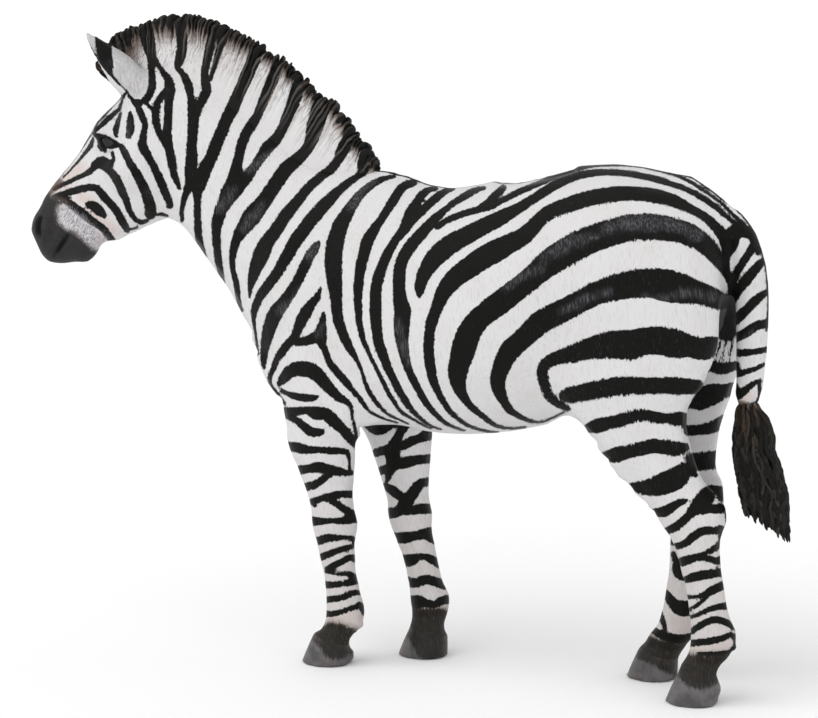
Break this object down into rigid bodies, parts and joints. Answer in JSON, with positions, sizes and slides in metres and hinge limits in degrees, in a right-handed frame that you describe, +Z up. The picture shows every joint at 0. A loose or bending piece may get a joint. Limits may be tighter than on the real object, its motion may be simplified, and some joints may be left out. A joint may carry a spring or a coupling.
{
  "type": "toy zebra figurine",
  "caption": "Solid moulded plastic figurine of a standing plains zebra, hand-painted with stripes, with an upright mane and a hanging tail.",
  "frame": {"origin": "middle of the underside of the figure's box, at the level of the hoof soles", "axes": "+X from the nose to the tail, +Y to the animal's right side, +Z up"},
  "size_m": [0.1142, 0.0256, 0.0915],
  "materials": {
    "striped_paint": "matte hand paint: off-white with warm black stripes over moulded hair",
    "muzzle_paint": "matte charcoal paint with a frosted grey patch",
    "hoof_paint": "satin dark grey paint",
    "eye_gloss": "gloss black paint",
    "mane_paint": "matte paint in black and off-white bands with a brown wash",
    "tuft_paint": "matte black paint with brown dry brushing"
  },
  "bodies": {
    "root": {"muzzle": "muzzle_paint", "head": "striped_paint", "eye_left": "eye_gloss", "eye_right": "eye_gloss", "neck": "striped_paint", "trunk": "striped_paint", "foreleg_left": "striped_paint", "foreshank_left": "striped_paint", "forehoof_left": "hoof_paint", "foreleg_right": "striped_paint", "foreshank_right": "striped_paint", "forehoof_right": "hoof_paint", "hindleg_left": "striped_paint", "hindshank_left": "striped_paint", "hindhoof_left": "hoof_paint", "hindleg_right": "striped_paint", "hindshank_right": "striped_paint", "hindhoof_right": "hoof_paint", "tail_dock": "striped_paint", "tail_tuft": "tuft_paint", "mane": "mane_paint", "ear_left": "striped_paint", "ear_right": "striped_paint"}
  },
  "joints": []
}
